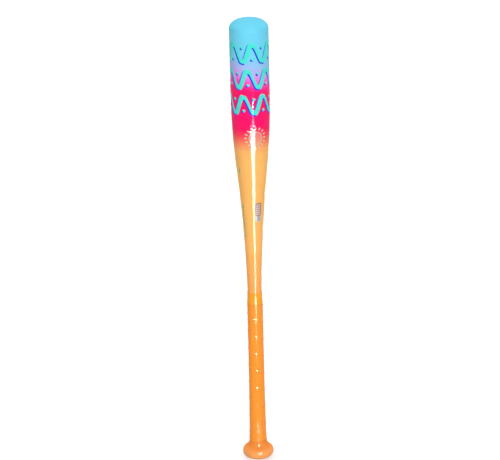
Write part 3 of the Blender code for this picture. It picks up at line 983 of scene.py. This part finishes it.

# %% [markdown]
# ## The grip's polymer
#
# The tape is a soft, tacky polymer with a smooth shine. It has a fine grain, and it creases where it is
# pulled over the neck of the knob. Along the seam between two turns the colour is painted darker, partly
# dirt and partly painted shade. The seam is a helix, so a point's place across the ribbon follows from
# its height and its angle round the handle.

# %% Grip polymer
SEAM_SHADE = 0.0011
CREASED_ZONE = (0.058, 0.078)
TAPE_CREASE = 0.00170
TAPE_RIPPLE = 0.00001
TAPE_GRAIN = 0.000006
TAPE_ORANGE = rgb(253, 151, 46)
TAPE_CLOUD = rgb(255, 159, 58)
TAPE_SHADE = rgb(222, 104, 22)


def place_across_ribbon(finish):
    """0 at the lower edge of a turn and 1 at its upper edge."""
    return ((finish.z - FIRST_EDGE) / GRIP_PITCH + finish.angle / math.tau).maths("FRACT")


def grip_finish():
    """Orange polymer with a seam painted darker with dirt and shade, a fine grain and creases near the
    knob.
    """
    finish = Finish("grip_polymer", gloss=0.3)
    across = place_across_ribbon(finish)
    share = SEAM_SHADE / GRIP_PITCH
    # The seam's darker line is partly dirt and partly painted shade.
    seam = (1 - across.rise(0.0, share)) + across.rise(1 - share * 1.5, 1.0)
    cloud = finish.noise(90, 3, stretch=(1, 1, 0.5)).rise(0.3, 0.75) * 0.35
    colour = finish.even(TAPE_ORANGE).tint(cloud, TAPE_CLOUD).tint(seam * 0.12, TAPE_SHADE)
    creased = 1 - finish.z.rise(*CREASED_ZONE)
    crease = finish.noise(270, 0, stretch=(1, 1, 0.8)) * (creased * TAPE_CREASE + TAPE_RIPPLE)
    finish.wear(Base_Color=colour, Roughness=finish.noise(500, 2) * 0.12 + 0.10 - creased * 0.07)
    finish.relief(crease + finish.noise(1500, 1) * TAPE_GRAIN)
    return finish


grip_finish().dress(wound_ribbon)

# %% [markdown]
# ## Collar, knob and disc
#
# The collar is rubber in a slightly stronger orange. The knob wears the same clear-coated enamel as the
# tube. Its paler belly and deeper top are painted light: the belly carries a painted reflection of the
# pale floor. The disc in its foot is plain moulded plastic.

# %% Collar, knob and disc finishes
BELLY_REFLECTION_ZONE = (0.0095, 0.0215)


def mottled(finish, colour, shade, roughness, ripple, scale=110):
    """Clouds a colour with a second one, and gives the finish an uneven gloss and a fine ripple."""
    cloud = finish.noise(scale, 3).rise(0.3, 0.75) * 0.5
    finish.wear(Base_Color=colour.tint(cloud, shade))
    finish.wear(Roughness=finish.noise(scale * 2, 2) * (roughness * 0.5) + roughness * 0.75)
    finish.relief(finish.noise(scale * 2.2, 2) * ripple)
    return finish


collar_finish = Finish("collar_rubber", gloss=0.3)
rubber_colour = collar_finish.even(rgb(255, 164, 42))
mottled(collar_finish, rubber_colour, rgb(250, 154, 36), 0.12, 0.00008).dress(rubber_collar)

knob_finish = Finish("knob_enamel", gloss=0.2)
# Painted light: the belly is painted paler, a painted reflection of the floor, and the top deeper.
belly = 1 - knob_finish.z.rise(*BELLY_REFLECTION_ZONE)
knob_colour = knob_finish.even(rgb(241, 139, 51)).tint(belly, rgb(254, 171, 101))
mottled(knob_finish, knob_colour, rgb(248, 152, 72), 0.08, 0.00002).dress(turned_knob)

disc_finish = Finish("disc_plastic", gloss=0.4)
disc_colour = disc_finish.even(rgb(242, 148, 76))
mottled(disc_finish, disc_colour, rgb(230, 134, 64), 0.35, 0.00001, 500).dress(foot_disc)

# %% [markdown]
# ## The label's foil
#
# The label is silver foil. Its upper panel is painted a warm tone, a painted reflection of the orange
# round
# it. It is left plain: a dark border round the upper panel, a paler lower panel, and faint empty rules.
# Its pattern is laid out in the distance across and up from the label's middle.

# %% Label foil
LABEL_BORDER = 0.0008
PANEL_SPLIT = -0.0050
RULE_PITCH = 0.0033
RULE_SHARE = (0.35, 0.65, 0.05)
RULE_REACH = 0.7
RULE_MARGIN = 0.001
RULE_INK = 0.7
FOIL_EDGE = 0.0001
FOIL_GRAIN = 0.000008
FOIL_PALE = rgb(184, 182, 186)
FOIL_WARM_REFLECTION = rgb(204, 178, 176)
BORDER_GREY = rgb(44, 36, 40)
RULE_GREY = rgb(70, 60, 66)


def foil_finish():
    """Silver foil with two panels, the upper one a painted warm reflection, a dark border and empty
    rules.
    """
    finish = Finish("label_foil", gloss=0.3, metallic=0.2)
    across = (finish.angle - LABEL_TURN) * tube_radius(LABEL_MIDDLE)
    up = finish.z - LABEL_MIDDLE
    half_width, half_length = LABEL_WIDTH / 2, LABEL_LENGTH / 2
    upper = up.rise(PANEL_SPLIT - FOIL_EDGE, PANEL_SPLIT + FOIL_EDGE)
    # The upper panel's warm tone is a painted reflection of the orange tube round the label.
    colour = finish.even(FOIL_PALE).tint(upper, FOIL_WARM_REFLECTION)
    inner = band(across, LABEL_BORDER - half_width, half_width - LABEL_BORDER, FOIL_EDGE)
    inner = inner * band(up, PANEL_SPLIT + LABEL_BORDER, half_length - LABEL_BORDER, FOIL_EDGE)
    colour = colour.tint((1 - inner) * upper, BORDER_GREY)
    ruled = band((up / RULE_PITCH).maths("FRACT"), *RULE_SHARE)
    ruled = ruled * band(across, -half_width * RULE_REACH, half_width * RULE_REACH, FOIL_EDGE)
    ruled = ruled * band(up, RULE_MARGIN - half_length, half_length - RULE_MARGIN, 2 * FOIL_EDGE)
    colour = colour.tint(ruled * RULE_INK, RULE_GREY)
    finish.wear(Base_Color=colour, Roughness=finish.noise(900, 2) * 0.15 + 0.22)
    finish.relief(finish.noise(700, 2) * FOIL_GRAIN)
    return finish


foil_finish().dress(blank_label)

# %% [markdown]
# ## The pieces that hardly show
#
# The adhesive, the weld bead and the rubber stopper are hidden in the finished bat, and come to light
# in a cut or exploded view. They keep the shape of the engineering model, and each gets a material of
# its own kind.

# %% Hidden pieces
hidden = (
    ("cap_bond", "clear_adhesive", rgb(214, 206, 186), rgb(232, 228, 214), 0.35, 0.00003, 0.0),
    ("knob_weld", "weld_metal", rgb(176, 176, 180), rgb(122, 120, 124), 0.40, 0.00006, 1.0),
    ("knob_bung", "bung_rubber", rgb(38, 38, 40), rgb(54, 54, 56), 0.75, 0.00002, 0.0),
)
for node, name, colour, shade, roughness, ripple, metallic in hidden:
    finish = Finish(name, metallic=metallic)
    mottled(finish, finish.even(colour), shade, roughness, ripple, 400).dress(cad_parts[node])
print("finishes:", ", ".join(sorted(look.name for look in bpy.data.materials)))

# %% [markdown]
# ## The studio floor
#
# The bat stands on plain pale paper. The lamps light the floor, and the Light Path node lets it glow as
# well, but only for the camera and in reflections. So it looks white, keeps the bat's shadow and still
# throws little light back up. The lamps reach its edges less than its middle, so the glow grows
# outwards.

# %% The floor
FLOOR_SIZE = 16
FLOOR_GLOW = 0.54
FAR_GLOW = 0.20
FAR_ZONE = (0.2, 3.6)
EDGE_GLOW = 0.16
EDGE_ZONE = (3.5, 8.0)


def seen_itself(tree):
    """1 for the camera, in reflections and through glass, and 0 where a surface only sheds light."""
    path = tree.nodes.new("ShaderNodeLightPath")
    seen = Wire(path.outputs["Is Camera Ray"]) + Wire(path.outputs["Is Glossy Ray"])
    return (seen + Wire(path.outputs["Is Transmission Ray"])).maths("MINIMUM", 1.0)


def add_floor():
    """A plain pale floor that keeps the bat's shadow."""
    bpy.ops.mesh.primitive_plane_add(size=FLOOR_SIZE, location=(0, 0, 0))
    floor = bpy.context.object
    floor.name = "studio_floor"
    look = bpy.data.materials.new("studio_floor")
    look.use_nodes = True
    tree = look.node_tree
    shader = tree.nodes["Principled BSDF"]
    shader.inputs["Base Color"].default_value = (0.5, 0.5, 0.5, 1)
    shader.inputs["Roughness"].default_value = 0.9
    shader.inputs["Specular IOR Level"].default_value = 0.0
    shader.inputs["Emission Color"].default_value = (1, 1, 1, 1)
    place = Wire(tree.nodes.new("ShaderNodeTexCoord").outputs["Object"])
    away = place.node("ShaderNodeVectorMath", {"operation": "LENGTH"}, {0: place}, "Value")
    glow = away.rise(*FAR_ZONE) * FAR_GLOW + away.rise(*EDGE_ZONE) * EDGE_GLOW + FLOOR_GLOW
    tree.links.new((seen_itself(tree) * glow).socket, shader.inputs["Emission Strength"])
    floor.data.materials.append(look)
    return floor


floor = add_floor()

# %% [markdown]
# ## The surroundings
#
# Beyond the floor all is white, as in front of a paper roll. The same node makes the world full white
# for the camera and in reflections, and only a faint light for everything else, so the lamps alone
# shape the bat.

# %% The surroundings
AMBIENT = 0.15


def light_surroundings():
    """A white world: full white for the camera and in reflections, and faint as a light."""
    world = bpy.data.worlds.new("studio")
    bpy.context.scene.world = world
    world.use_nodes = True
    tree = world.node_tree
    background = tree.nodes["Background"]
    background.inputs["Color"].default_value = (1, 1, 1, 1)
    strength = seen_itself(tree) * (1 - AMBIENT) + AMBIENT
    tree.links.new(strength.socket, background.inputs["Strength"])


light_surroundings()

# %% [markdown]
# ## The lamps
#
# Five softboxes light the bat: a large one in front, a little to the right, one overhead, a weak one on
# the left and two behind. They don't show in reflections. What the enamel mirrors is a column of narrow
# strips in front and one strip behind, which light nothing else. The front strips make one long bright
# streak. Each has a width and brightness of its own, so the streak starts as a small spot on the
# barrel, breaks into flecks over the creased film and runs on wide and bright down the taper.

# %% The lamps
SOFTBOX_AIM = (0, 0, 0.35)
STREAK_DISTANCE = 0.6
REAR_HEIGHT = 0.21


def add_lamp(name, place, aim, size, radiance, streak_only=False):
    """A rectangular soft lamp. Its power follows from its size and how bright its face is."""
    bpy.ops.object.light_add(type="AREA", location=place)
    lamp = bpy.context.object
    lamp.name = name
    lamp.rotation_euler = (Vector(aim) - Vector(place)).to_track_quat("-Z", "Y").to_euler()
    lamp.data.shape = "RECTANGLE"
    lamp.data.size, lamp.data.size_y = size
    lamp.data.energy = radiance * size[0] * size[1] * math.pi
    lamp.visible_camera = False
    lamp.visible_diffuse = not streak_only
    lamp.visible_glossy = streak_only
    return lamp


for name, place, size, radiance in (
    ("front_softbox", (0.839, -4.756, 1.644), 2.6, 10.2),
    ("top_softbox", (0, 1.0, 4.6), 2.0, 6.5),
    ("left_softbox", (-4.4, -1.2, 1.6), 2.2, 1.7),
    ("rear_left_softbox", (-3.0, 3.2, 2.6), 2.2, 5.0),
    ("rear_right_softbox", (3.0, 3.2, 2.6), 2.2, 5.0),
):
    add_lamp(name, place, SOFTBOX_AIM, (size, size), radiance)
for name, across, height, size, radiance in (
    ("streak_blob", 0.140, 0.400, (0.12, 0.014), 170),
    ("streak_flecks", 0.140, 0.3595, (0.11, 0.066), 22),
    ("streak_tip", 0.150, 0.3170, (0.13, 0.019), 62),
    ("streak_top", 0.120, 0.2500, (0.33, 0.114), 90),
    ("streak_middle", 0.125, 0.1385, (0.24, 0.109), 78),
    ("streak_foot", 0.160, 0.046, (0.16, 0.075), 80),
):
    place = (across, -STREAK_DISTANCE, height)
    add_lamp(name, place, (across, 0, height), size, radiance, streak_only=True)
rear_place = (0, STREAK_DISTANCE, REAR_HEIGHT)
add_lamp("rear_streak", rear_place, (0, 0, REAR_HEIGHT), (0.12, 0.40), 80, streak_only=True)
bpy.context.scene.view_settings.view_transform = "Standard"
